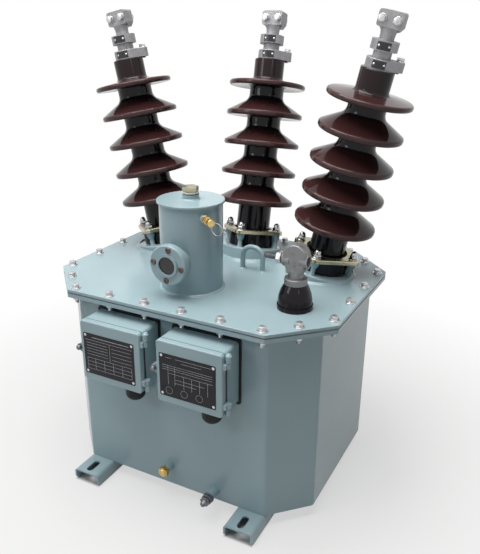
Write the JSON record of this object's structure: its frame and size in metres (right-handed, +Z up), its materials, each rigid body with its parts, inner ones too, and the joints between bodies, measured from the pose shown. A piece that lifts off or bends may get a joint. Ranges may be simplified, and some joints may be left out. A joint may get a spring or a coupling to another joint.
{
  "type": "combined instrument transformer",
  "caption": "Oil-filled octagonal steel tank with leaning porcelain line bushings, a neutral bushing, an oil conservator and hinged secondary terminal boxes, standing on channel feet.",
  "frame": {"origin": "on the floor under the middle of the tank", "axes": "+Z up, -Y towards the front with the terminal boxes, +X to the right seen from the front"},
  "size_m": [0.7157, 0.5827, 0.9679],
  "materials": {
    "grey_green_paint": "gloss paint",
    "brown_porcelain": "glossy brown glaze",
    "dark_porcelain": "glossy dark brown glaze",
    "yellow_zinc": "yellow passivated zinc",
    "cast_aluminium": "sand-cast, blasted",
    "brass": "turned brass",
    "plated_steel": "bright zinc",
    "sight_glass": "polished glass",
    "black_rubber": "moulded black rubber",
    "plate_black": "black-etched plate, blank",
    "moulded_board": "moulded insulating board"
  },
  "bodies": {
    "tank": {"box_body_left": "grey_green_paint", "box_body_right": "grey_green_paint", "box_seats": "black_rubber", "bushing_clamp_left": "yellow_zinc", "bushing_clamp_middle": "yellow_zinc", "bushing_clamp_right": "yellow_zinc", "bushing_left": "brown_porcelain", "bushing_middle": "brown_porcelain", "bushing_right": "brown_porcelain", "bushing_turrets": "grey_green_paint", "cable_glands": "black_rubber", "clamp_studs": "plated_steel", "conservator": "grey_green_paint", "conservator_cap": "grey_green_paint", "drain_plug": "brass", "earth_bolt": "plated_steel", "filler_plug": "yellow_zinc", "foot_left": "grey_green_paint", "foot_right": "grey_green_paint", "hinge_pins": "plated_steel", "lid": "grey_green_paint", "lid_gasket": "black_rubber", "lifting_loop_left": "grey_green_paint", "lifting_loop_right": "grey_green_paint", "neutral_bushing": "dark_porcelain", "neutral_clamp": "cast_aluminium", "sight_flange": "grey_green_paint", "sight_glass": "sight_glass", "tank_bottom": "grey_green_paint", "tank_flange": "grey_green_paint", "tank_shell": "grey_green_paint", "terminal_boards": "moulded_board", "terminal_collar_left": "cast_aluminium", "terminal_collar_middle": "cast_aluminium", "terminal_collar_right": "cast_aluminium", "terminal_jaw_left": "cast_aluminium", "terminal_jaw_middle": "cast_aluminium", "terminal_jaw_right": "cast_aluminium", "terminal_stem_left": "cast_aluminium", "terminal_stem_middle": "cast_aluminium", "terminal_stem_right": "cast_aluminium", "vent_valve": "brass"},
    "cover_left": {"box_cover_left": "grey_green_paint", "nameplate_left": "plate_black"},
    "cover_right": {"box_cover_right": "grey_green_paint", "nameplate_right": "plate_black"}
  },
  "joints": [
    {"name": "left_cover_hinge", "type": "hinge", "parent": "tank", "child": "cover_left", "pos_m": [-0.0125, -0.2792, 0.34], "axis": [0, 0, 1], "range_deg": [0, 75]},
    {"name": "right_cover_hinge", "type": "hinge", "parent": "tank", "child": "cover_right", "pos_m": [0.1645, -0.2792, 0.34], "axis": [0, 0, 1], "range_deg": [0, 110]}
  ]
}
